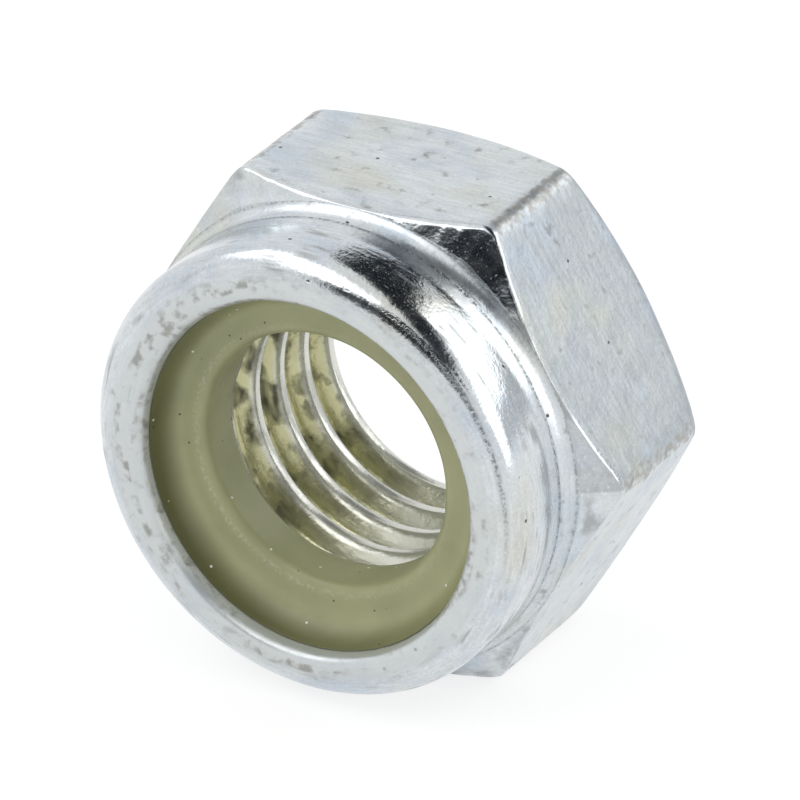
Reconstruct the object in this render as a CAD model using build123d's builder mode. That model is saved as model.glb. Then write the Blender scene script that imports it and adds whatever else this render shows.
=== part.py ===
from build123d import *
from math import cos, radians, sin, sqrt, tan
import os

# Prevailing-torque hexagon nut, M12 x 1.75, millimetres: a zinc-plated steel body whose collar
# is rolled over a polyamide ring. It lies on one hexagon flat, with the thread axis along Y.
# The origin is the centre of the bearing face; the collar end points towards -Y and +Z is up.

# --- driving dimensions -------------------------------------------------------------------
nut_height = 11.9
across_flats = 18.7
corner_radius = 0.8          # worn rounding of the six long edges
bearing_d = 17.2             # flat washer face that bears on the work
bearing_chamfer_angle = 30   # between the chamfer and the bearing face
hexagon_height = 7.93        # bearing face to the root of the collar
shoulder_angle = 35          # between the front shoulder and the bearing face

collar_d = 18.0
collar_wall = 1.3            # thickness of the wall that is rolled over
collar_root_radius = 0.77    # concave fillet between shoulder and collar
roll_radius = 1.55           # outer radius of the rolled wall
lip_edge_radius = 0.45       # rounding of the lip's inner edge
lip_overlap = 0.75           # how far the lip reaches in over the ring

thread_d = 12.0
thread_pitch = 1.75
thread_allowance = 0.3       # opening of the minor diameter above its basic size
countersink_margin = 0.6     # countersink mouth above the thread's diameter
countersink_angle = 120      # included angle at both ends of the thread

insert_thickness = 2.4       # seat to the underside of the lip
insert_bore_d = 10.1
insert_chamfer = 0.4         # outer corner that the wall is rolled over
insert_lead_in_radius = 0.35
insert_dish_depth = 0.5      # open face, below the underside of the lip
insert_dish_width = 0.75     # sloped rise from the open face up to the lip
insert_squeeze = 0.5         # how far rolling the lip over it drove the ring up inside the lip
insert_clearance = 0.02      # around the ring, under the lip and inside it

# --- worked out from them -----------------------------------------------------------------
collar_r = collar_d / 2
ring_wall_r = collar_r - collar_wall
lip_r = ring_wall_r - lip_overlap
lip_foot_height = nut_height - collar_wall
seat_height = lip_foot_height - insert_thickness
collar_land = collar_r - lip_r
roll_fillet = min(roll_radius, 0.76 * collar_land)
lip_fillet = min(lip_edge_radius, 0.23 * collar_land)

# basic minor diameter of a 60 degree metric thread is its diameter less 1.0825 pitches
thread_minor_r = (thread_d - 1.0825 * thread_pitch + thread_allowance) / 2
countersink_r = (thread_d + countersink_margin) / 2
countersink_depth = (countersink_r - thread_minor_r) / tan(radians(countersink_angle / 2))

chamfer_rise = tan(radians(bearing_chamfer_angle))
shoulder_fall = tan(radians(shoulder_angle))
corner_r = across_flats / sqrt(3)
chamfer_r = bearing_d / 2
lean = radians(shoulder_angle)
# length of the tangents that the fillet at the collar's root takes from shoulder and collar
root_run = collar_root_radius * tan(radians(90 - shoulder_angle) / 2)

# In the section plane x is the radius and y is the height above the bearing face.
section = Plane(origin=(0, 0, 0), x_dir=(1, 0, 0), z_dir=(0, 0, -1))
# In the cross plane x stays X and y is Z; its normal runs from the bearing face to the collar.
cross = Plane(origin=(0, 0, 0), x_dir=(1, 0, 0), z_dir=(0, -1, 0))

# --- nut body: forged hexagon, turned chamfers, bored and rolled collar ----------------------
with BuildPart() as nut_body:
    with BuildSketch(cross) as hexagon:
        RegularPolygon(across_flats / 2, 6, major_radius=False)
        fillet(hexagon.vertices(), corner_radius)
    extrude(amount=hexagon_height)

    # Two cones trim the hexagon's ends, so each flat ends in a curved edge.
    with BuildSketch(section) as turned_ends:
        with BuildLine():
            Polyline(
                (0, 0),
                (chamfer_r, 0),
                (corner_r, (corner_r - chamfer_r) * chamfer_rise),
                (corner_r, hexagon_height - (corner_r - collar_r) * shoulder_fall),
                (collar_r, hexagon_height),
                (0, hexagon_height),
                close=True,
            )
        make_face()
    revolve(axis=Axis.Y, mode=Mode.INTERSECT)

    # The collar flares into the shoulder at its root and is rolled inwards at its top.
    with BuildSketch(section) as collar:
        with BuildLine():
            root = JernArc(
                (collar_r + root_run * cos(lean), hexagon_height - root_run * sin(lean)),
                (-cos(lean), sin(lean)),
                collar_root_radius,
                shoulder_angle - 90,
            )
            wall = Line(root @ 1, (collar_r, nut_height - roll_fillet))
            rolled = JernArc(wall @ 1, (0, 1), roll_fillet, 90)
            top = Line(rolled @ 1, (lip_r + lip_fillet, nut_height))
            edge = JernArc(top @ 1, (-1, 0), lip_fillet, 90)
            Polyline(edge @ 1, (lip_r, seat_height - countersink_depth), root @ 0)
        make_face()
    revolve(axis=Axis.Y)

    # Thread core, its two countersinks, the seat of the ring and the hollow under the lip.
    with BuildSketch(section) as hollow:
        with BuildLine():
            Polyline(
                (0, 0),
                (countersink_r, 0),
                (thread_minor_r, countersink_depth),
                (thread_minor_r, seat_height - countersink_depth),
                (countersink_r, seat_height),
                (ring_wall_r, seat_height),
                (ring_wall_r, lip_foot_height - insert_chamfer),
                (ring_wall_r - insert_chamfer, lip_foot_height),
                (lip_r, lip_foot_height),
                (lip_r, nut_height),
                (0, nut_height),
                close=True,
            )
        make_face()
    revolve(axis=Axis.Y, mode=Mode.SUBTRACT)
nut_body.part.label = "nut_body"

# --- polyamide ring, pressed up against the lip ------------------------------------------------
ring_r = ring_wall_r - insert_clearance
ring_top = lip_foot_height - insert_clearance
ring_bore_r = insert_bore_d / 2
squeeze_r = lip_r - insert_clearance
squeeze_height = lip_foot_height + insert_squeeze
face_height = lip_foot_height - insert_dish_depth

with BuildPart() as nylon_insert:
    with BuildSketch(section) as ring:
        with BuildLine():
            face = Polyline(
                (ring_bore_r, seat_height),
                (ring_r, seat_height),
                (ring_r, ring_top - insert_chamfer),
                (ring_r - insert_chamfer, ring_top),
                (squeeze_r, ring_top),
                (squeeze_r, squeeze_height),
                (lip_r - insert_dish_width, face_height),
                (ring_bore_r + insert_lead_in_radius, face_height),
            )
            lead_in = JernArc(face @ 1, (-1, 0), insert_lead_in_radius, 90)
            Line(lead_in @ 1, face @ 0)
        make_face()
    revolve(axis=Axis.Y)
nylon_insert.part.label = "nylon_insert"

os.makedirs("parts", exist_ok=True)
export_step(nut_body.part, "parts/nut_body.step")
export_step(nylon_insert.part, "parts/nylon_insert.step")
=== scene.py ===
import bpy
import numpy as np
from mathutils import Matrix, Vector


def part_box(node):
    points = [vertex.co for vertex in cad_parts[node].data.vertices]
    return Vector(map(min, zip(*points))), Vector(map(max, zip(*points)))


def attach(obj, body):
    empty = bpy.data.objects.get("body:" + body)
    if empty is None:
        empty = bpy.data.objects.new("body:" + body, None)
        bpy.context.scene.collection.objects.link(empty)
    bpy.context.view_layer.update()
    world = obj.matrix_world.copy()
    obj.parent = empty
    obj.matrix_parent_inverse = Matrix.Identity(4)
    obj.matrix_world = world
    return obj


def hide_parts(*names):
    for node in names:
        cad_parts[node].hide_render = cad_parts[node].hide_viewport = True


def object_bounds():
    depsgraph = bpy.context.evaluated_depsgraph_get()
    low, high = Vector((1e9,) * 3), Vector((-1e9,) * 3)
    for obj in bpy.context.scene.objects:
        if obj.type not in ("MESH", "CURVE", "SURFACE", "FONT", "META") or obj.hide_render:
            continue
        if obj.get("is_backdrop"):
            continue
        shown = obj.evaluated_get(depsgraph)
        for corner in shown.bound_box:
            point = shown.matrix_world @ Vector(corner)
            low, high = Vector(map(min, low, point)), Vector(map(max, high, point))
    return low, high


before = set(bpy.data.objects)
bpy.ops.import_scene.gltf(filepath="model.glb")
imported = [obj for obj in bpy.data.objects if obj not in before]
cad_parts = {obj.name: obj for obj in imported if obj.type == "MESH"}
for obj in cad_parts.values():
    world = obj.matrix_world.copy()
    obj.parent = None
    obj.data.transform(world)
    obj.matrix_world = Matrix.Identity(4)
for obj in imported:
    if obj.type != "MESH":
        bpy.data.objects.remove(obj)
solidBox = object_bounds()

# A lock nut lying on one flat: zinc-plated steel body, rolled collar, polyamide ring.
# The thread's axis is Y, the bearing face is at y = 0 and the collar points towards -Y.
# Lengths in the dictionaries are millimetres and angles are degrees. A height is measured
# from the bearing face, and a turn angle goes from +X towards +Z.
mm = 0.001
flowStretch = 7                  # streaks are this many times longer round the turn than across it
scene = bpy.context.scene

bodyLow, bodyHigh = (np.array(corner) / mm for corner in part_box("nut_body"))
nutHeight = bodyHigh[1] - bodyLow[1]
acrossFlats = bodyHigh[2] - bodyLow[2]
print("frame loaded: %.2f mm across flats, %.2f mm high" % (acrossFlats, nutHeight))


def smoothNoise(points, cell, seed, size=24):
    # Value noise from -1 to 1: random heights on a cubic lattice with the given cell, blended
    # between the eight nearest lattice points by a smooth step along each direction.
    lattice = np.random.default_rng(seed).uniform(-1, 1, (size, size, size))
    scaled = points / cell
    base = np.floor(scaled).astype(int)
    part = scaled - base
    part = part * part * (3 - 2 * part)
    total = np.zeros(points.shape[:-1])
    for corner in np.ndindex(2, 2, 2):
        index = (base + corner) % size
        weight = np.where(corner, part, 1 - part).prod(axis=-1)
        total += weight * lattice[index[..., 0], index[..., 1], index[..., 2]]
    return total


def smoothStep(low, high, value):
    # Rises from 0 at low to 1 at high along 3t^2 - 2t^3.
    share = np.clip((value - low) / (high - low), 0, 1)
    return share * share * (3 - 2 * share)


def turned(radius, height, angle):
    # A point at a radius and a height, turned about the thread's axis.
    return np.stack([radius * np.cos(angle), -height + 0 * radius, radius * np.sin(angle)], axis=-1)


def section(radius, height, columns):
    # One point of the section, repeated for every column: two rows, radius and height.
    return np.stack([np.broadcast_to(radius, columns), np.broadcast_to(height, columns)])


def straightRun(start, end, steps):
    # Even steps strictly between two section points.
    share = np.linspace(0, 1, steps + 2)[1:-1, None, None]
    return (1 - share) * start + share * end


def bend(start, corner, end, steps):
    # Quadratic curve that leaves the start towards the corner and arrives at the end from it.
    share = np.linspace(0, 1, steps)[:, None, None]
    return (1 - share) ** 2 * start + 2 * share * (1 - share) * corner + share ** 2 * end


def roundedCorner(before, corner, after, reach, steps):
    # Quadratic curve round a corner of the section. It leaves each side at the distance "reach"
    # from the corner, or at less than half of a shorter side.
    back, ahead = before - corner, after - corner
    backLength, aheadLength = np.linalg.norm(back, axis=0), np.linalg.norm(ahead, axis=0)
    reach = np.minimum(reach, 0.45 * np.minimum(backLength, aheadLength))
    start, end = corner + back / backLength * reach, corner + ahead / aheadLength * reach
    return bend(start, corner, end, steps)


def arcRun(centre, radius, fromAngle, toAngle, steps):
    # Arc in the section plane, angles from the outward radius towards the collar end.
    angle = np.radians(np.linspace(fromAngle, toAngle, steps))[:, None]
    return np.stack([centre[0] + radius * np.cos(angle), centre[1] + radius * np.sin(angle)], axis=1)


def gridNormals(points):
    # Cross product of the steps along the columns and along the rows; columns close on themselves.
    along = np.roll(points, -1, axis=1) - np.roll(points, 1, axis=1)
    up = np.gradient(points, axis=0)
    normal = np.cross(along, up)
    return normal / np.maximum(np.linalg.norm(normal, axis=-1, keepdims=True), 1e-12)


def closedQuads(rows, columns):
    # Quads of a grid whose last column meets its first, as indices row by row.
    row, column = np.meshgrid(np.arange(rows - 1), np.arange(columns), indexing="ij")
    nextColumn = (column + 1) % columns
    corners = [row * columns + column, row * columns + nextColumn,
               (row + 1) * columns + nextColumn, (row + 1) * columns + column]
    return np.stack(corners, axis=-1).reshape(-1, 4)


def addPiece(name, points, faces, attributes):
    # Mesh from points in millimetres and faces that may repeat a corner; repeated corners drop out.
    triangles = np.concatenate([faces[:, [0, 1, 2]], faces[:, [0, 2, 3]]])
    sound = ((triangles[:, 0] != triangles[:, 1]) & (triangles[:, 1] != triangles[:, 2])
             & (triangles[:, 2] != triangles[:, 0]))
    triangles = triangles[sound]
    used, triangles = np.unique(triangles, return_inverse=True)
    triangles = triangles.reshape(-1, 3)
    mesh = bpy.data.meshes.new(name)
    mesh.vertices.add(len(used))
    mesh.vertices.foreach_set("co", (points[used] * mm).astype(np.float32).ravel())
    mesh.loops.add(triangles.size)
    mesh.loops.foreach_set("vertex_index", triangles.astype(np.int32).ravel())
    mesh.polygons.add(len(triangles))
    mesh.polygons.foreach_set("loop_start", np.arange(0, triangles.size, 3, dtype=np.int32))
    mesh.polygons.foreach_set("use_smooth", np.ones(len(triangles), dtype=bool))
    for key, values in attributes.items():
        kind = "FLOAT_VECTOR" if values.ndim == 2 else "FLOAT"
        store = mesh.attributes.new(key, kind, "POINT")
        field = "vector" if values.ndim == 2 else "value"
        store.data.foreach_set(field, values[used].astype(np.float32).ravel())
    mesh.update(calc_edges=True)
    mesh.validate()
    piece = bpy.data.objects.new(name, mesh)
    scene.collection.objects.link(piece)
    print("piece %s: %d triangles" % (name, len(triangles)))
    return piece


bodyShape = {
    "cornerRadius": 0.8,         # worn rounding of the six long edges
    "bearingRadius": 8.6,        # flat washer face
    "bearingChamfer": 30,
    "shoulderHeight": 7.93,      # where the shoulder's cone would meet the collar's wall
    "shoulderAngle": 35,
    "collarRadius": 9.0,
    "rootRadius": 0.77,          # hollow fillet between shoulder and collar
    "rootEnd": 189,              # the wall's direction is 180, so the arc stops short in a crease
    "grooveDepth": 0.045,        # shallow turned groove between the root's crease and the wall
    "creaseHeight": 8.33,
    "wallStart": 8.92,
    "wallBulge": 0.035,          # the wall is fullest a little below its middle
    "bulgePower": 0.8,           # less than 1 puts the fullest place lower
    "wallLean": 7,               # the wall leans in by this much before it is rolled
    "rollRadius": 1.1,           # tight bend first, then a flatter one towards the lip
    "rollTurn": 50,
    "crownRadius": 1.55,
    "crownTurn": 92,
    "paintedReflectionRadius": 8.6,           # a painted dark reflection runs along the bend here
    "lipShoulder": 11.27,        # the lip's round inner edge ends here
    "lipMean": 7.02,             # the lip isn't quite round: mean radius and two waves
    "lipWaves": [(1, 0.161, 0), (2, 0.154, 136)],   # waves per turn, size, phase
    "lipDrop": 0.5,              # share of the fall along the crown's tangent that the lip keeps
    "lipFoot": 10.6,             # underside of the lip
    "ringWall": 7.7,             # pocket that the polyamide ring sits in
    "pocketChamfer": 0.4,
    "seatHeight": 8.2,
    "countersinkRadius": 6.3,
    "countersinkSlope": 60,      # half of the included angle

    "pitch": 1.75,
    "crestRadius": 5.2,
    "grooveRadius": 6.05,
    "crestStart": -0.02,         # height of a crest at turn angle zero
    "crestLand": 0.40,
    "grooveLand": 0.26,
    "crestWorn": 0.06,           # rounding of the crest's two edges

    "edgeReach": (0.25, 0.16, 0.13),   # rounding where bearing face, chamfer, flat and shoulder meet
    "edgeSpan": 3.2,             # degrees on each side of a long edge that get close columns
    "edgeSteps": 12,
    "flatSteps": 52,

    # Flats from turn angle zero on: painted shade, each side of the hexagon lighter or darker as the light
    # falls on it.
    "paintedFaceShades": [0.0, 0.9, 0.62, 0.7, 0.5, 0.86],
    "flatWave": (0.018, 2.6),    # height and cell of the slow unevenness of the flats
    "edgeNibble": (0.02, 0.42),  # small losses along the long edges
    "rimNibble": (0.045, 0.36),  # uneven line where the cones cut the flats
    "bearingShare": (0.3, 3),    # at the bearing face: share of that size, and times that cell
    "collarWave": (0.016, 1.9),
    "wornSpan": (1.2, 4.2),      # degrees from a long edge between which its wear fades
    "seed": 12,

    # The shoulder and the rolled collar are burnished, and the flats, lip and pocket are dull.
    "partGloss": {"bearing": 0.3, "chamfer": 0.15, "flat": 0.0, "shoulder": 1.0, "root": 0.25,
                  "wall": 1.0, "roll": 1.0, "crown": 1.0, "lip": 0.05, "pocket": 0.0},
    "wallGloss": (0.25, 8.75, 9.15),      # gloss of the groove, and heights where it rises to 1
    "crownDulling": (0.95, 8.45, 7.95),   # gloss lost towards the lip, and radii where it goes
    "lipBand": (8.3, 7.8),       # radii where the lip's film begins and is full
    "creaseWidth": 0.035,
    "paintedRootShade": (9.32, 0.04, 0.7),   # radius, width and strength of the painted shade line in the root
    "paintedReflectionWidth": 0.075,
    "paintedReflectionTurns": (-22, 20, 58, 72),   # the painted reflection fades in between two turn angles and out again
    "shadeAndGrimeTurn": 185,            # the side of the thread that holds the painted shade and grime
    "shadeAndGrimeSpan": (-0.1, 0.95),   # cosine of the turn from there, between none and full
    "mouthSpan": (0.5, 1.1),     # heights between which straw tint, painted shade and grime begin
    "crestDepth": 0.25,          # the crest's own tone ends this far down the flank
}


def columnAngles():
    # One sixth of a turn has close steps round its worn edge and even steps along its flat.
    span = bodyShape["edgeSpan"]
    near = np.linspace(-span, span, bodyShape["edgeSteps"], endpoint=False)
    along = np.linspace(span, 60 - span, bodyShape["flatSteps"], endpoint=False)
    sixth = np.concatenate([near, along])
    return np.radians(sixth[None, :] + 60 * np.arange(6)[:, None]).ravel()


def hexagonRadius(angle):
    # Distance from the axis to a flat, or to the circle that rounds the nearest long edge.
    inradius = acrossFlats / 2
    offEdge = np.abs((np.degrees(angle) + 30) % 60 - 30)
    flat = inradius / np.cos(np.radians(30 - offEdge))
    corner = bodyShape["cornerRadius"]
    centre = (inradius - corner) / np.cos(np.radians(30))
    reach = np.sin(np.radians(offEdge)) * centre
    circle = centre * np.cos(np.radians(offEdge)) + np.sqrt(np.maximum(corner ** 2 - reach ** 2, 0))
    tangent = 30 - np.degrees(np.arctan(centre / 2 / inradius))
    return np.where(offEdge < tangent, circle, flat), offEdge


def lipCircle(angle):
    # Mean radius plus a few slow waves round the turn.
    waves = [size * np.cos(count * angle - np.radians(phase))
             for count, size, phase in bodyShape["lipWaves"]]
    return bodyShape["lipMean"] + sum(waves)


def bodyOutside(angle):
    # The section is followed from the countersink's rim over the bearing face, chamfer, flat,
    # shoulder, root, wall, roll and lip into the pocket, with the hexagon's radius at each angle.
    shape = bodyShape
    columns = len(angle)
    flat, offEdge = hexagonRadius(angle)
    wall = shape["collarRadius"]
    chamferFall = np.tan(np.radians(shape["bearingChamfer"]))
    shoulderFall = np.tan(np.radians(shape["shoulderAngle"]))
    lean = np.radians(shape["shoulderAngle"])
    rootRun = shape["rootRadius"] * np.tan((np.pi / 2 - lean) / 2)

    ring = turned(np.full(columns, wall), 0.0, angle)
    nibble, cell = shape["rimNibble"]
    bearingShare, bearingCells = shape["bearingShare"]
    seed = shape["seed"]
    # The rim is left alone near the middle of a flat, where the shoulder has hardly any width.
    wide = smoothStep(0.1, 0.8, flat - wall - rootRun)
    finer = smoothNoise(ring, cell / 2.3, seed + 1)
    shoulderRim = nibble * wide * (smoothNoise(ring, cell, seed) + 0.6 * finer)
    bearingRim = bearingShare * nibble * smoothNoise(ring + wall, bearingCells * cell, seed + 2)

    rim = section(shape["countersinkRadius"], 0.0, columns)
    bearing = section(shape["bearingRadius"], 0.0, columns)
    flatStart = section(flat, (flat - shape["bearingRadius"]) * chamferFall + bearingRim, columns)
    flatEnd = section(flat, shape["shoulderHeight"] - (flat - wall) * shoulderFall + shoulderRim, columns)
    rootCentre = section(wall + shape["rootRadius"], shape["shoulderHeight"] + rootRun, columns)
    root = arcRun(rootCentre, shape["rootRadius"], 270 - shape["shoulderAngle"], shape["rootEnd"], 9)

    # Wall, tight bend and crown follow each other with the same lean where they meet; the crown
    # starts from the top, so the section is placed by its highest point and by the wall's radius.
    turnKeys = ("wallLean", "rollTurn", "crownTurn")
    wallLean, rollTurn, crownTurn = (np.radians(shape[key]) for key in turnKeys)
    tight, crown = shape["rollRadius"], shape["crownRadius"]
    rise = tight * (np.sin(rollTurn) - np.sin(wallLean)) + crown * (np.sin(crownTurn) - np.sin(rollTurn))
    rollStart = section(wall, nutHeight - rise - crown * (1 - np.sin(crownTurn)), columns)
    rollCentre = rollStart - tight * section(np.cos(wallLean), np.sin(wallLean), columns)
    crownCentre = rollCentre - (crown - tight) * section(np.cos(rollTurn), np.sin(rollTurn), columns)
    roll = arcRun(rollCentre, tight, shape["wallLean"], shape["rollTurn"], 16)
    crease = section(wall, shape["creaseHeight"], columns)
    wallStart = section(wall - shape["grooveDepth"], shape["wallStart"], columns)
    wallShare = np.linspace(0, 1, 12)[:, None, None]
    wallRun = (1 - wallShare) * wallStart + wallShare * roll[0]
    fullness = np.sin(np.pi * wallShare ** shape["bulgePower"]) * shape["wallBulge"]
    wallRun = wallRun + fullness * section(1.0, 0.0, columns)
    crownArc = arcRun(crownCentre, crown, shape["rollTurn"], shape["crownTurn"], 18)[1:]

    # The lip's edge starts on the crown's tangent and turns down to the uneven lip circle.
    lip = lipCircle(angle)
    crownEnd = crownArc[-1]
    lipTop = np.stack([lip, crownEnd[1] + (crownEnd[0] - lip) / np.tan(crownTurn) * shape["lipDrop"]])
    lipShoulder = section(lip, shape["lipShoulder"], columns)
    lipEnd = section(lip, shape["lipFoot"], columns)
    lipEdge = bend(crownEnd, lipTop, lipShoulder, 14)[1:]
    pocketStart = section(shape["ringWall"] - shape["pocketChamfer"], shape["lipFoot"], columns)
    pocketWall = section(shape["ringWall"], shape["lipFoot"] - shape["pocketChamfer"], columns)
    seatWall = section(shape["ringWall"], shape["seatHeight"], columns)
    seatRim = section(shape["countersinkRadius"], shape["seatHeight"], columns)

    bearingReach, footReach, topReach = shape["edgeReach"]
    bearingEdge = roundedCorner(rim, bearing, flatStart, bearingReach, 4)
    flatFoot = roundedCorner(bearing, flatStart, flatEnd, footReach, 4)
    flatTop = roundedCorner(flatStart, flatEnd, root[0], topReach, 5)
    parts = [
        ("bearing", rim[None]),
        ("bearing", straightRun(rim, bearingEdge[0], 6)),
        ("chamfer", bearingEdge),
        ("chamfer", straightRun(bearingEdge[-1], flatFoot[0], 4)),
        ("flat", flatFoot),
        ("flat", straightRun(flatFoot[-1], flatTop[0], 26)),
        ("shoulder", flatTop),
        ("shoulder", straightRun(flatTop[-1], root[0], 7)),
        ("root", root),
        ("wall", straightRun(root[-1], crease, 2)),
        ("wall", crease[None]),
        ("wall", straightRun(crease, wallStart, 3)),
        ("wall", wallRun[:-1]),
        ("roll", roll),
        ("crown", crownArc),
        ("lip", lipEdge),
        ("pocket", straightRun(lipEdge[-1], lipEnd, 1)),
        ("pocket", lipEnd[None]),
        ("pocket", pocketStart[None]),
        ("pocket", pocketWall[None]),
        ("pocket", seatWall[None]),
        ("pocket", seatRim[None]),
    ]
    names = np.concatenate([[name] * len(rows) for name, rows in parts])
    return names, np.concatenate([rows for name, rows in parts]), offEdge


def threadRows(angle):
    # The radius follows crest, flank, root and flank once a pitch, and the rows climb with the
    # turn angle, so that each lies along the helix. Rows past an end close up on that end's rim.
    shape = bodyShape
    pitch = shape["pitch"]
    halfCrest = shape["crestLand"] / 2
    halfRoot = pitch / 2 - shape["grooveLand"] / 2
    worn = shape["crestWorn"]
    phase = np.concatenate([
        np.array([-halfCrest, -halfCrest + worn, 0, halfCrest - worn, halfCrest]),
        np.linspace(halfCrest, halfRoot, 5)[1:],
        np.linspace(halfRoot, pitch - halfRoot, 4)[1:],
        np.linspace(pitch - halfRoot, pitch - halfCrest, 5)[1:-1],
    ])
    depth = shape["grooveRadius"] - shape["crestRadius"]
    distance = np.minimum(phase % pitch, pitch - phase % pitch)
    share = np.clip((distance - halfCrest) / (halfRoot - halfCrest), 0, 1)
    profile = shape["crestRadius"] + depth * share
    profile = np.where(np.isclose(distance, halfCrest), profile + worn / 3, profile)
    # Two crests start below the bearing face and the last one past the seat, so that rows reach
    # both rims at every turn angle.
    turns = np.arange(-2, int(np.ceil(shape["seatHeight"] / pitch)) + 1)
    start = (turns[:, None] * pitch + phase[None, :] + shape["crestStart"]).ravel()
    helix = start[:, None] + pitch * angle[None, :] / (2 * np.pi)
    radius = np.tile(profile, len(turns))[:, None] + 0 * helix
    return helix, radius, len(phase)


def buildBody():
    # The outside is a grid of sections and the bore a grid that climbs along the helix. They are
    # joined at the countersink's rim and at the seat's rim, which closes the mesh.
    shape = bodyShape
    angle = columnAngles()
    columns = len(angle)
    names, rows, offEdge = bodyOutside(angle)
    radius, height = rows[:, 0], rows[:, 1]
    outside = turned(radius, height, angle[None, :])
    steps = np.diff(rows, axis=0, prepend=rows[:1])
    alongSection = np.cumsum(np.linalg.norm(steps, axis=1), axis=0)

    # Wear only ever takes metal away, so the surface moves inwards along its normal.
    worn = 1 - smoothStep(*shape["wornSpan"], offEdge)[None, :]
    onHex = np.isin(names, ["chamfer", "flat", "shoulder"])[:, None]
    onFlat = (names == "flat")[:, None]
    onWall = (names == "wall")[:, None]
    onCrown = (names == "crown")[:, None]
    onLip = (names == "lip")[:, None]
    onRoot = (names == "root")[:, None]
    onRolled = np.isin(names, ["roll", "crown"])[:, None]
    onCollar = onWall | onRolled | onLip
    seed = shape["seed"]
    size, cell = shape["edgeNibble"]
    take = worn * onHex * size * (0.5 + 0.5 * smoothNoise(outside, cell, seed + 3))
    take = take + worn * onHex * size * 0.5 * (0.5 + 0.5 * smoothNoise(outside, cell / 2.2, seed + 4))
    size, cell = shape["flatWave"]
    take = take + onFlat * size * (0.5 + 0.5 * smoothNoise(outside, cell, seed + 5))
    size, cell = shape["collarWave"]
    take = take + onCollar * size * (0.5 + 0.5 * smoothNoise(outside, cell, seed + 6))
    outside = outside - gridNormals(outside) * take[..., None]

    helix, threadRadius, rowsPerTurn = threadRows(angle)
    top = shape["seatHeight"]
    mouth = shape["countersinkRadius"]
    slope = np.tan(np.radians(shape["countersinkSlope"]))
    threadHeight = np.clip(helix, 0, top)
    sink = np.maximum(mouth - threadHeight * slope, mouth - (top - threadHeight) * slope)
    inside = turned(np.maximum(threadRadius, sink), threadHeight, angle[None, :])

    points = np.concatenate([outside.reshape(-1, 3), inside.reshape(-1, 3)])
    number = outside.shape[0] * columns + np.arange(inside.shape[0] * columns).reshape(inside.shape[:2])
    bearingRow = np.arange(columns)[None, :]
    seatStart = (outside.shape[0] - 1) * columns
    number = np.where(helix <= 0, bearingRow, number)
    number = np.where(helix >= top, seatStart + bearingRow, number)
    # Past the last column a row goes on as the row one pitch higher in the first column.
    above = np.concatenate([number[rowsPerTurn:, 0], np.full(rowsPerTurn, seatStart)])
    across = np.concatenate([number, above[:, None]], axis=1)
    boreFaces = np.stack([across[:-1, :-1], across[1:, :-1], across[1:, 1:], across[:-1, 1:]], axis=-1)
    faces = np.concatenate([closedQuads(outside.shape[0], columns), boreFaces.reshape(-1, 4)])

    def spread(outsideValues, insideValues):
        return np.concatenate([np.broadcast_to(outsideValues, radius.shape).ravel(),
                               np.broadcast_to(insideValues, helix.shape).ravel()])

    # Painted shade and grime sit on one side of the thread, and neither they nor the straw tint
    # reach the countersink at the bearing face.
    inThread = smoothStep(*shape["mouthSpan"], threadHeight)
    towards = np.cos(angle - np.radians(shape["shadeAndGrimeTurn"]))
    shadeAndGrimeSide = inThread * smoothStep(*shape["shadeAndGrimeSpan"], towards)[None, :]

    gloss = np.array([shape["partGloss"][name] for name in names])[:, None] + 0 * height
    grooveGloss, low, high = shape["wallGloss"]
    gloss = np.where(onWall, grooveGloss + (1 - grooveGloss) * smoothStep(low, high, height), gloss)
    lost, outer, inner = shape["crownDulling"]
    gloss = np.where(onCrown, 1 - lost * smoothStep(outer, inner, radius), gloss)

    # Painted dark lines: painted shade at the crease and in the root, and a painted reflection along the
    # bend over part of the turn.
    paintedDarkLine = np.exp(-((height - shape["creaseHeight"]) / shape["creaseWidth"]) ** 2) * onWall
    rootRadius, rootWidth, rootStrength = shape["paintedRootShade"]
    paintedRootShade = rootStrength * np.exp(-((radius - rootRadius) / rootWidth) ** 2) * onRoot
    turnOff = (np.degrees(angle) + 180) % 360 - 180
    fadeIn, fullFrom, fullTo, fadeOut = shape["paintedReflectionTurns"]
    paintedReflectionSpan = smoothStep(fadeIn, fullFrom, turnOff) * smoothStep(fadeOut, fullTo, turnOff)
    paintedReflection = np.exp(-((radius - shape["paintedReflectionRadius"]) / shape["paintedReflectionWidth"]) ** 2) * onRolled
    crease = paintedDarkLine + paintedRootShade + paintedReflection * paintedReflectionSpan[None, :]
    lipBand = (onCrown | onLip) * smoothStep(*shape["lipBand"], radius)
    # Painted shade: the flat, chamfer and shoulder in each sixth of the turn get their own brightness.
    faceShade = np.array(shape["paintedFaceShades"])[(np.degrees(angle) % 360 // 60).astype(int) % 6]
    # Streaks run round the turn: heights on the flats, the section's own length on the collar and
    # the place within one pitch in the thread give lines that stay level or follow the helix. The
    # offsets keep the noise of the three apart.
    collarOffset, boreOffset = 20, 40
    firstRoot = np.argmax(names == "root")
    beforeRoot = (np.arange(len(names)) < firstRoot)[:, None]
    pastRoot = collarOffset + alongSection - alongSection[firstRoot]
    level = np.where(beforeRoot, radius + height, pastRoot)
    level = np.where(onFlat, height, level)
    flowHeight = spread(level, boreOffset + helix - shape["pitch"] * angle[None, :] / (2 * np.pi))
    flow = np.stack([points[:, 0] / flowStretch, points[:, 2] / flowStretch, flowHeight], axis=-1)
    attributes = {
        "flow": flow,
        "edgeWear": spread(worn * onFlat, 0.0),
        "gloss": spread(gloss, 0.5),
        "lipBand": spread(lipBand, 0.0),
        "crease": spread(crease, 0.0),
        "bore": spread(0.0, 1.0),
        "paintedFaceShade": spread(np.where(onHex, faceShade[None, :], 0.8), 0.8),
        "shadeAndGrimeSide": spread(0.0, shadeAndGrimeSide),
        "straw": spread(0.0, inThread),
        "crest": spread(0.0, 1 - smoothStep(0, shape["crestDepth"], threadRadius - shape["crestRadius"])),
    }
    return addPiece("nutBodyWorn", points, faces, attributes)


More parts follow.
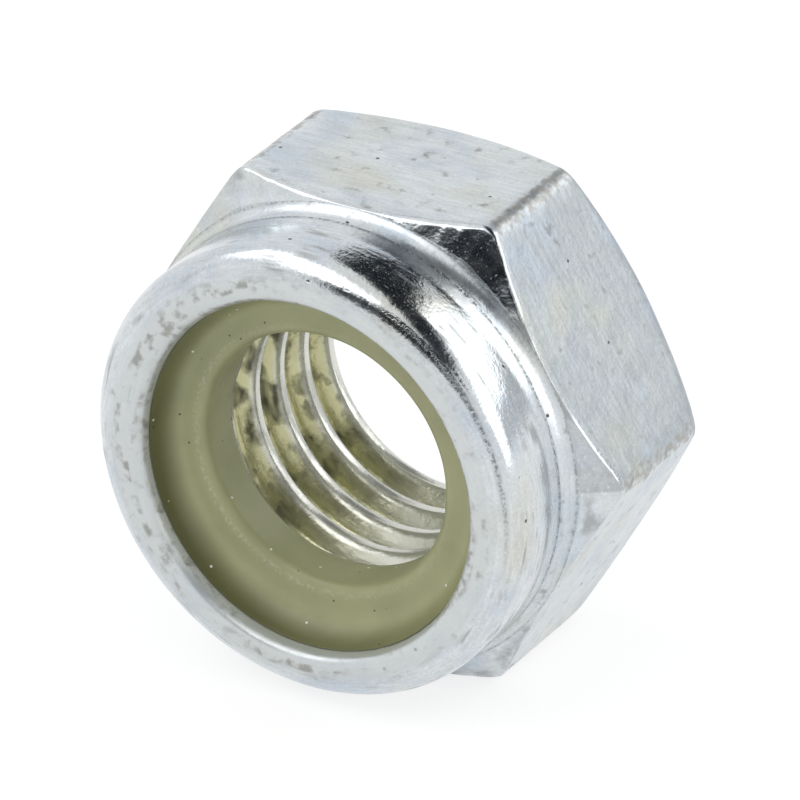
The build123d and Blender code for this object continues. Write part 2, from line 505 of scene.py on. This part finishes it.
insertShape = {
    "boreRadius": 5.05,
    "ringRadius": 7.68,
    "seatHeight": 8.2,
    "topHeight": 10.58,
    "shoulderRadius": 0.38,
    "faceHeight": 10.1,          # open face, between the lead-in and the rise to the lip
    "leadIn": 0.42,
    "riseStart": 5.75,
    "risePower": 3.2,
    "squeezeHeight": 11.24,      # the ring was squeezed up this far inside the lip
    "lipGap": 0.015,
    "dustRadius": 5.45,          # dust lies where the lead-in begins
    "dustWidth": 0.12,
    "shadeReach": 0.75,          # painted shade in the corner under the lip reaches this far from the lip
    "shadeLeast": 0.12,          # share of that painted shade on the lighter side
    "shadeTurn": 215,            # turn angle where the painted shade in the corner is darkest and the dust thickest
    "columns": 288,
    "riseSteps": 22,
    "riseEase": 1.5,             # rows crowd towards the lip by this power
    "unevenness": (0.02, 1.6),   # height and cell of the moulded face's waves
    "seed": 31,
}


def buildInsert():
    # A section of bore, lead-in, open face, curved rise and hidden outside, carried round the axis.
    shape = insertShape
    columns = shape["columns"]
    angle = np.linspace(0, 2 * np.pi, columns, endpoint=False)
    bore, lead = shape["boreRadius"], shape["leadIn"]
    face, outer = shape["faceHeight"], shape["ringRadius"]
    shoulder, top, seat = shape["shoulderRadius"], shape["topHeight"], shape["seatHeight"]
    # The rise steepens towards the lip and follows the lip's uneven circle.
    lip = lipCircle(angle) - shape["lipGap"]
    share = np.linspace(0, 1, shape["riseSteps"])[:, None]
    even = 1 - (1 - share) ** shape["riseEase"]
    riseRadius = shape["riseStart"] + (lip - shape["riseStart"]) * even
    riseHeight = face + (shape["squeezeHeight"] - face) * even ** shape["risePower"]
    rise = np.stack([riseRadius, riseHeight + np.zeros(columns)], axis=1)
    parts = [
        section(bore, seat, columns)[None],
        straightRun(section(bore, seat, columns), section(bore, face - lead, columns), 12),
        arcRun(section(bore + lead, face - lead, columns), lead, 180, 90, 10),
        straightRun(section(bore + lead, face, columns), section(shape["riseStart"], face, columns), 6),
        rise,
        section(lip, top, columns)[None],
        section(outer - shoulder, top, columns)[None],
        arcRun(section(outer - shoulder, top - shoulder, columns), shoulder, 90, 0, 6)[1:],
        section(outer, seat, columns)[None],
        section(bore, seat, columns)[None],
    ]
    rows = np.concatenate(parts)
    points = turned(rows[:, 0], rows[:, 1], angle[None, :])
    size, cell = shape["unevenness"]
    take = size * (0.5 + 0.5 * smoothNoise(points, cell, shape["seed"]))
    shown = (rows[:, 1] > seat + 0.2) & (rows[:, 0] < lip - 0.1)
    shownRows = rows[:, 1] > face - lead
    normal = -gridNormals(points)
    points = points - normal * (take * shown)[..., None]
    count = len(rows)
    faces = closedQuads(count, columns)
    faces = np.where(faces >= (count - 1) * columns, faces - (count - 1) * columns, faces)[:, ::-1]
    flat = points.reshape(-1, 3)
    # Painted shade in the corner under the lip, and dust, gather towards one turn angle.
    turn = np.broadcast_to(angle[None, :], (count, columns))
    lowSide = 0.5 + 0.5 * np.cos(turn - np.radians(shape["shadeTurn"]))
    least = shape["shadeLeast"]
    corner = smoothStep(shape["shadeReach"], 0.0, lip - rows[:, 0]) * (least + (1 - least) * lowSide)
    dust = np.exp(-((rows[:, 0] - shape["dustRadius"]) / shape["dustWidth"]) ** 2) * shownRows * lowSide
    fromAxis = np.hypot(flat[:, 0], flat[:, 2])
    flow = np.stack([flat[:, 0] / flowStretch, flat[:, 2] / flowStretch, fromAxis], axis=-1)
    attributes = {"flow": flow, "corner": corner.ravel(), "dust": dust.ravel()}
    return addPiece("polyamideRing", flat, faces, attributes)


def linearColour(text):
    # sRGB hex to linear red, green, blue.
    parts = [int(text[start:start + 2], 16) / 255 for start in (1, 3, 5)]
    linear = [part / 12.92 if part <= 0.04045 else ((part + 0.055) / 1.055) ** 2.4 for part in parts]
    return (*linear, 1.0)


def addNode(tree, kind, settings):
    # Adds one node. A value that is another node's output is linked, and any other is set.
    node = tree.nodes.new("ShaderNode" + kind)
    for name, value in settings.items():
        if isinstance(value, bpy.types.NodeSocket):
            tree.links.new(value, node.inputs[name])
        elif isinstance(name, int) or name in node.inputs:
            node.inputs[name].default_value = value
        else:
            setattr(node, name, value)
    return node


def newMaterial(name):
    material = bpy.data.materials.new(name)
    material.use_nodes = True
    material.node_tree.nodes.clear()
    return material, material.node_tree


def patternMasks(tree, finish):
    # Builds what a finish's tables describe. Noises and spots have their size in millimetres, on
    # object coordinates or on the mesh's flow, which is in millimetres already. A mask is the
    # product of its ranges, and each range maps low..high of one value to start..end.
    place = addNode(tree, "TexCoord", {}).outputs["Object"]
    flow = addNode(tree, "Attribute", {"attribute_name": "flow"}).outputs["Vector"]
    value = {}
    for name in finish["attributes"]:
        value[name] = addNode(tree, "Attribute", {"attribute_name": name}).outputs["Fac"]
    for name, (along, size, detail) in finish["noises"].items():
        where, scale = (flow, 1 / size) if along == "flow" else (place, 1 / (size * mm))
        noise = addNode(tree, "TexNoise", {"Vector": where, "Scale": scale, "Detail": detail})
        value[name] = noise.outputs["Fac"]
    for name, (spacing, size, least) in finish["spots"].items():
        cell = addNode(tree, "TexVoronoi", {"Vector": place, "Scale": 1 / (spacing * mm)})
        near = addNode(tree, "MapRange", {"Value": cell.outputs["Distance"], "From Min": size,
                                          "From Max": size / 2}).outputs[0]
        chosen = addNode(tree, "Math", {"operation": "GREATER_THAN", 0: cell.outputs["Color"],
                                        1: least}).outputs[0]
        value[name] = addNode(tree, "Math", {"operation": "MULTIPLY", 0: near, 1: chosen}).outputs[0]
    for name, (first, factor, second) in finish["sums"].items():
        value[name] = addNode(tree, "Math", {"operation": "MULTIPLY_ADD", 0: value[first], 1: factor,
                                             2: value[second]}).outputs[0]
    for name, ranges in finish["masks"].items():
        product = None
        for source, low, high, start, end in ranges:
            part = addNode(tree, "MapRange", {"Value": value[source], "From Min": low, "From Max": high,
                                              "To Min": start, "To Max": end}).outputs[0]
            if product:
                part = addNode(tree, "Math", {"operation": "MULTIPLY", 0: product, 1: part}).outputs[0]
            product = part
        value[name] = product
    return value


def layeredColour(tree, base, layers, value, finish):
    # Lays each named colour over the base by its mask; a layer with no colour darkens or lightens.
    for name, tint in layers:
        if tint:
            settings = {0: value[name], 7: linearColour(finish[tint])}
        else:
            settings = {0: 1.0, 7: value[name], "blend_type": "MULTIPLY"}
        base = addNode(tree, "Mix", {"data_type": "RGBA", 6: base, **settings}).outputs[2]
    return base


def weightedSum(tree, start, parts, value):
    # Adds each named value times its amount.
    for name, amount in parts:
        start = addNode(tree, "Math", {"operation": "MULTIPLY_ADD", 0: value[name], 1: amount,
                                       2: start}).outputs[0]
    return start


zincFinish = {
    "plate": "#D3D9DC",          # on the forged flats
    "rolled": "#D2D7DA",         # on the burnished collar
    "blueTint": "#B7C4D2",
    "yellowTint": "#C9C8B8",
    "smudgeColour": "#8D8F8C",
    "pitColour": "#4A4D4E",
    # painted shade at the crease and in the root, and a painted reflection along the bend
    "paintedDarkLineColour": "#54585A",
    # painted glints on the burnished parts
    "paintedGlintColour": "#E6E9EA",
    "scuffColour": "#9DA0A0",
    "filmColour": "#D2D6D6",     # dull whitish film on the lip
    "lipMarkColour": "#8F8F89",
    "wornColour": "#A09D96",
    "grooveColour": "#F0F1E8",   # side of the bore without the painted shade and grime
    "strawColour": "#CCCA98",
    "crestColour": "#DEDFD9",
    # dark patches on one side of the thread: painted shade and grime
    "grimeAndShadeColour": "#23241A",

    "attributes": ["gloss", "edgeWear", "lipBand", "bore", "crest", "paintedFaceShade", "crease", "shadeAndGrimeSide",
                   "straw"],
    # The grain is drawn about four times coarser than a plated surface has it, so that it shows.
    "noises": {
        "grain": ("place", 0.13, 4.0),
        "crumb": ("place", 0.10, 2.0),
        "broken": ("place", 0.28, 5.0),
        "lipCloud": ("place", 0.4, 5.0),
        "smudgeCloud": ("place", 0.45, 5.0),
        "dent": ("place", 0.7, 3.0),
        "grimeCloud": ("place", 1.1, 4.0),
        "scuffPatch": ("place", 1.9, 3.0),
        "patch": ("place", 2.6, 3.0),
        "farPatch": ("place", 4.42, 2.0),
        "streak": ("flow", 0.16, 3.0),
        "scuffStreak": ("flow", 0.30, 4.0),
        "broadStreak": ("flow", 0.55, 4.0),
    },
    "spots": {"pits": (0.9, 0.10, 0.68)},
    "sums": {"rubbed": ("broken", 1.6, "edgeWear")},
    "masks": {
        # painted shade on each side of the hexagon
        "tone": [("paintedFaceShade", 0, 1, 0.74, 1.04)],
        "blue": [("patch", 0.50, 0.66, 0, 0.55)],
        "yellow": [("farPatch", 0.54, 0.68, 0, 0.5)],
        "fleck": [("grain", 0.32, 0.68, 0.93, 1.05)],
        "streaks": [("streak", 0.35, 0.65, 0.93, 1.05)],
        "smudge": [("smudgeCloud", 0.55, 0.68, 0, 1), ("dent", 0.50, 0.62, 0, 0.75),
                   ("gloss", 0.2, 0.8, 1, 0)],
        # painted shade lines at the crease and root, and a painted reflection line on the bend
        "paintedDarkLine": [("crease", 0, 1, 0, 1), ("grain", 0.42, 0.58, 0.15, 0.85)],
        # painted glints: light specks on the burnished parts
        "paintedGlint": [("crumb", 0.62, 0.70, 0, 1), ("gloss", 0.6, 1.0, 0, 0.6)],
        "scuff": [("scuffStreak", 0.52, 0.62, 0, 1), ("scuffPatch", 0.46, 0.58, 0, 1),
                  ("gloss", 0.5, 0.9, 0, 0.75)],
        "film": [("lipBand", 0, 1, 0, 1), ("broadStreak", 0.38, 0.62, 0.55, 1)],
        "lipMark": [("lipBand", 0, 1, 0, 0.75), ("broadStreak", 0.48, 0.60, 0, 1),
                    ("lipCloud", 0.46, 0.62, 0, 1)],
        "wornBand": [("rubbed", 1.62, 1.92, 0, 0.65)],
        "strawTint": [("straw", 0, 1, 0, 1), ("crest", 0, 0.8, 0.9, 0.1),
                      ("shadeAndGrimeSide", 0, 0.7, 0.12, 1)],
        "crestLight": [("crest", 0, 1, 0, 0.8)],
        # painted shade and grime: dark, patchy, on one side of the thread and less on the crests
        "grimeAndShade": [("shadeAndGrimeSide", 0, 1, 0, 1), ("grimeCloud", 0.47, 0.58, 0, 1),
                  ("streak", 0.35, 0.6, 0.4, 1), ("crest", 0.2, 0.9, 0.85, 0.25)],
        "unevenGloss": [("dent", 0.35, 0.65, -0.03, 0.05)],
        "roughness": [("gloss", 0, 1, 0.31, 0.15)],
        "metallic": [("gloss", 0, 1, 0.82, 1), ("grimeAndShade", 0, 1, 1, 0.3), ("paintedGlint", 0, 1, 1, 0.5),
                     ("film", 0, 1, 1, 0.6), ("bore", 0, 1, 1, 0.68)],
        "grainHeight": [("grain", 0, 1, 0, 1), ("gloss", 0, 1, 0.006, 0.007)],
        "boreLines": [("streak", 0, 1, 0, 1), ("bore", 0, 1, 0, 1)],
    },
    "layers": [("tone", None), ("blue", "blueTint"), ("yellow", "yellowTint"), ("fleck", None),
               ("streaks", None), ("smudge", "smudgeColour"), ("pits", "pitColour"),
               ("paintedDarkLine", "paintedDarkLineColour"),
               ("paintedGlint", "paintedGlintColour"), ("scuff", "scuffColour"), ("film", "filmColour"),
               ("lipMark", "lipMarkColour"), ("wornBand", "wornColour"), ("bore", "grooveColour"),
               ("strawTint", "strawColour"), ("crestLight", "crestColour"), ("grimeAndShade", "grimeAndShadeColour")],
    "duller": [("smudge", 0.10), ("wornBand", 0.16), ("grimeAndShade", 0.25), ("film", 0.08), ("scuff", 0.28),
               ("unevenGloss", 1.0)],
    "heights": [("dent", 0.016), ("streak", 0.004), ("pits", -0.02), ("boreLines", 0.012),
                ("paintedDarkLine", -0.012), ("wornBand", 0.008)],   # millimetres
}


def zincPlate():
    # Bright zinc electroplate with clear passivation over forged and turned steel: silver with
    # faint blue and straw patches, a fine grain that breaks up every reflection, painted glints,
    # smudges and pits, worn grey long edges, a burnished collar, a dull lip, painted shade on each
    # side of the hexagon, painted dark lines of shade and reflection round the collar, and a straw
    # bore with grime and painted shade on one side.
    finish = zincFinish
    material, tree = newMaterial("zincPlate")
    value = patternMasks(tree, finish)
    steel = addNode(tree, "Mix", {"data_type": "RGBA", 0: value["gloss"], 6: linearColour(finish["plate"]),
                                  7: linearColour(finish["rolled"])}).outputs[2]
    base = layeredColour(tree, steel, finish["layers"], value, finish)
    roughness = weightedSum(tree, value["roughness"], finish["duller"], value)
    height = weightedSum(tree, value["grainHeight"], finish["heights"], value)
    bump = addNode(tree, "Bump", {"Strength": 1.0, "Distance": mm, "Height": height})
    shader = addNode(tree, "BsdfPrincipled", {"Base Color": base, "Metallic": value["metallic"],
                                              "Roughness": roughness, "Normal": bump.outputs["Normal"]})
    addNode(tree, "OutputMaterial", {"Surface": shader.outputs["BSDF"]})
    return material


ringFinish = {
    "polyamide": "#A2A47C",
    "paintedCornerShadeColour": "#4C4B22",   # painted shade in the corner under the lip
    "dustColour": "#C9C9B4",
    "whiteSpeck": "#E6E6DC",
    "darkSpeck": "#2E2C18",
    "roughness": 0.42,
    "refraction": 1.53,

    "attributes": ["corner", "dust"],
    "noises": {"cloud": ("place", 1.6, 4.0), "fine": ("place", 0.16, 3.0)},
    "spots": {"crumbs": (0.6, 0.11, 0.60), "darkSpecks": (0.55, 0.10, 0.64)},
    "sums": {},
    "masks": {
        "shade": [("cloud", 0.35, 0.65, 0.93, 1.05)],
        # painted shade in the corner under the lip
        "paintedCornerShade": [("corner", 0, 1, 0, 0.9)],
        "dustLine": [("dust", 0, 1, 0, 1), ("fine", 0.46, 0.66, 0, 0.55)],
        "fineHeight": [("fine", 0, 1, 0, 0.004)],
    },
    "layers": [("shade", None), ("paintedCornerShade", "paintedCornerShadeColour"), ("dustLine", "dustColour"),
               ("crumbs", "whiteSpeck"), ("darkSpecks", "darkSpeck")],
    "heights": [("cloud", 0.03)],   # millimetres
}


def mouldedPolyamide():
    # Undyed polyamide gone olive, moulded and then sized: an even satin with a soft shine, a few
    # white crumbs and dark specks, dust where the lead-in begins, and painted shade in the corner
    # under the lip.
    finish = ringFinish
    material, tree = newMaterial("mouldedPolyamide")
    value = patternMasks(tree, finish)
    base = layeredColour(tree, linearColour(finish["polyamide"]), finish["layers"], value, finish)
    height = weightedSum(tree, value["fineHeight"], finish["heights"], value)
    bump = addNode(tree, "Bump", {"Strength": 1.0, "Distance": mm, "Height": height})
    shader = addNode(tree, "BsdfPrincipled", {"Base Color": base, "Roughness": finish["roughness"],
                                              "IOR": finish["refraction"], "Normal": bump.outputs["Normal"]})
    addNode(tree, "OutputMaterial", {"Surface": shader.outputs["BSDF"]})
    return material


body = buildBody()
body.data.materials.append(zincPlate())
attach(body, "root")
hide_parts("nut_body")

ring = buildInsert()
ring.data.materials.append(mouldedPolyamide())
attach(ring, "root")
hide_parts("nylon_insert")


def frameMatrix(side, up, away, spot):
    # World matrix with three axes and a place as its columns.
    matrix = Matrix.Identity(4)
    for column, axis in enumerate((side, up, away, spot)):
        for row in range(3):
            matrix[row][column] = axis[row]
    return matrix


def direction(azimuth, elevation):
    # Unit vector at an azimuth from -Y towards +X and at an elevation, in radians.
    return np.array([np.sin(azimuth) * np.cos(elevation), -np.cos(azimuth) * np.cos(elevation),
                     np.sin(elevation)])


cameraShot = {
    "target": (0.49, -5.36, 0.48),
    "distance": 382.7,
    "azimuth": 31.23,            # from -Y towards +X
    "elevation": 27.91,
    "roll": 1.19,
    "focalLength": 468.1,        # on a 36 mm wide sensor
}


def addCamera():
    shot = cameraShot
    azimuth, elevation, roll = (np.radians(shot[key]) for key in ("azimuth", "elevation", "roll"))
    look = -direction(azimuth, elevation)
    level = np.array([np.cos(azimuth), np.sin(azimuth), 0])
    up = np.cross(level, look)
    right, up = level * np.cos(roll) - up * np.sin(roll), up * np.cos(roll) + level * np.sin(roll)
    spot = (np.array(shot["target"]) - look * shot["distance"]) * mm
    lens = bpy.data.cameras.new("studioCamera")
    lens.lens = shot["focalLength"]
    lens.sensor_width = 36
    lens.clip_start = 0.01
    camera = bpy.data.objects.new("studioCamera", lens)
    camera.matrix_world = frameMatrix(right, up, -look, spot)
    scene.collection.objects.link(camera)
    scene.camera = camera


addCamera()


# Azimuth runs from -Y towards +X and elevation from the floor, both seen from the nut.
studio = {
    "floorSize": 900,
    "paper": "#D8D8D8",
    "paperGlow": 1.35,           # what the camera and gloss see is lifted to white by this
    "paperLift": 0.55,
    "skyGlow": 0.75,
    "softboxes": [
        {"name": "softboxRight", "azimuth": 118, "elevation": 25, "width": 76, "height": 36, "roll": 22,
         "distance": 600, "brightness": 1.35},
        {"name": "softboxLeft", "azimuth": -50, "elevation": 55, "width": 70, "height": 30, "roll": 0,
         "distance": 600, "brightness": 1.35},
    ],
    "flags": [
        {"name": "flagCamera", "azimuth": 10, "elevation": 31, "width": 56, "height": 24, "roll": 0,
         "distance": 650, "tone": "#22262C"},
        {"name": "flagOverhead", "azimuth": 120, "elevation": 68, "width": 110, "height": 34, "roll": 0,
         "distance": 650, "tone": "#22262C"},
        {"name": "flagBehind", "azimuth": -172, "elevation": 52, "width": 20, "height": 16, "roll": 0,
         "distance": 650, "tone": "#22262C"},
        {"name": "flagSide", "azimuth": 148, "elevation": 4, "width": 50, "height": 28, "roll": 12,
         "distance": 650, "tone": "#C6CBD0"},
    ],
}


def facingNut(card):
    # Frame of a card that looks at the nut from its azimuth, elevation and distance, rolled about
    # that line, and the card's size from the angles that it spans.
    azimuth, elevation = np.radians(card["azimuth"]), np.radians(card["elevation"])
    away = direction(azimuth, elevation)
    side = np.array([np.cos(azimuth), np.sin(azimuth), 0])
    up = np.cross(away, side)
    roll = np.radians(card["roll"])
    side, up = side * np.cos(roll) + up * np.sin(roll), up * np.cos(roll) - side * np.sin(roll)
    spot = away * card["distance"] * mm
    halfAngles = (np.radians(card[key]) / 2 for key in ("width", "height"))
    width, height = (2 * card["distance"] * mm * np.tan(half) for half in halfAngles)
    return frameMatrix(side, up, away, spot), width, height


def addSoftbox(card):
    matrix, width, height = facingNut(card)
    lamp = bpy.data.lights.new(card["name"], "AREA")
    lamp.shape = "RECTANGLE"
    lamp.size, lamp.size_y = width, height
    lamp.energy = card["brightness"] * np.pi * width * height
    light = bpy.data.objects.new(card["name"], lamp)
    light.matrix_world = matrix
    light.visible_camera = False
    scene.collection.objects.link(light)


def addRectangle(name, width, height, level, material):
    # A rectangle centred on its object's origin, "level" above it.
    corners = [(-width / 2, -height / 2), (width / 2, -height / 2),
               (width / 2, height / 2), (-width / 2, height / 2)]
    mesh = bpy.data.meshes.new(name)
    mesh.from_pydata([(x, y, level) for x, y in corners], [], [(0, 1, 2, 3)])
    mesh.materials.append(material)
    rectangle = bpy.data.objects.new(name, mesh)
    scene.collection.objects.link(rectangle)
    return rectangle


def plainCard(card):
    material, tree = newMaterial(card["name"])
    tone = addNode(tree, "Emission", {"Color": linearColour(card["tone"]), "Strength": 1.0}).outputs[0]
    addNode(tree, "OutputMaterial", {"Surface": tone})
    return material


def addFlag(card):
    # A card of one tone that is seen only in reflections: three are dark and one is pale.
    matrix, width, height = facingNut(card)
    flag = addRectangle(card["name"], width, height, 0, plainCard(card))
    flag.matrix_world = matrix
    for ray in ("camera", "diffuse", "transmission", "volume_scatter", "shadow"):
        setattr(flag, "visible_" + ray, False)
    flag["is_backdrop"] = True


def seenDirectly(tree):
    # 1 for rays from the camera, off gloss and through glass, else 0.
    path = addNode(tree, "LightPath", {})
    seen = addNode(tree, "Math", {"operation": "ADD", 0: path.outputs["Is Camera Ray"],
                                  1: path.outputs["Is Glossy Ray"]}).outputs[0]
    return addNode(tree, "Math", {"operation": "ADD", "use_clamp": True, 0: seen,
                                  1: path.outputs["Is Transmission Ray"]}).outputs[0]


def addFloor():
    # Paper at the height of the flat that the nut lies on.
    material, tree = newMaterial("whitePaper")
    paper = addNode(tree, "BsdfDiffuse", {"Color": linearColour(studio["paper"])}).outputs[0]
    glow = addNode(tree, "Emission", {"Strength": studio["paperGlow"]}).outputs[0]
    lifted = addNode(tree, "MixShader", {0: studio["paperLift"], 1: paper, 2: glow}).outputs[0]
    shown = addNode(tree, "MixShader", {0: seenDirectly(tree), 1: paper, 2: lifted}).outputs[0]
    addNode(tree, "OutputMaterial", {"Surface": shown})
    size = studio["floorSize"] * mm
    floor = addRectangle("studioFloor", size, size, bodyLow[2] * mm, material)
    floor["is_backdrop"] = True


def addSky():
    world = bpy.data.worlds.new("studioSky")
    scene.world = world
    world.use_nodes = True
    tree = world.node_tree
    tree.nodes.clear()
    strength = addNode(tree, "MapRange", {"Value": seenDirectly(tree), "To Min": studio["skyGlow"],
                                          "To Max": 1.0}).outputs[0]
    glow = addNode(tree, "Background", {"Color": (1, 1, 1, 1), "Strength": strength}).outputs[0]
    addNode(tree, "OutputWorld", {"Surface": glow})


addFloor()
addSky()
for card in studio["softboxes"]:
    addSoftbox(card)
for card in studio["flags"]:
    addFlag(card)
print("studio set up")

scene.view_settings.view_transform = "Standard"

boxes = {"solids": [list(map(float, corner)) for corner in solidBox],
         "visual": [list(map(float, corner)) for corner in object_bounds()]}
print("boxes in millimetres:")
for key, corners in boxes.items():
    print(key, np.round(np.array(corners) / mm, 2).tolist())
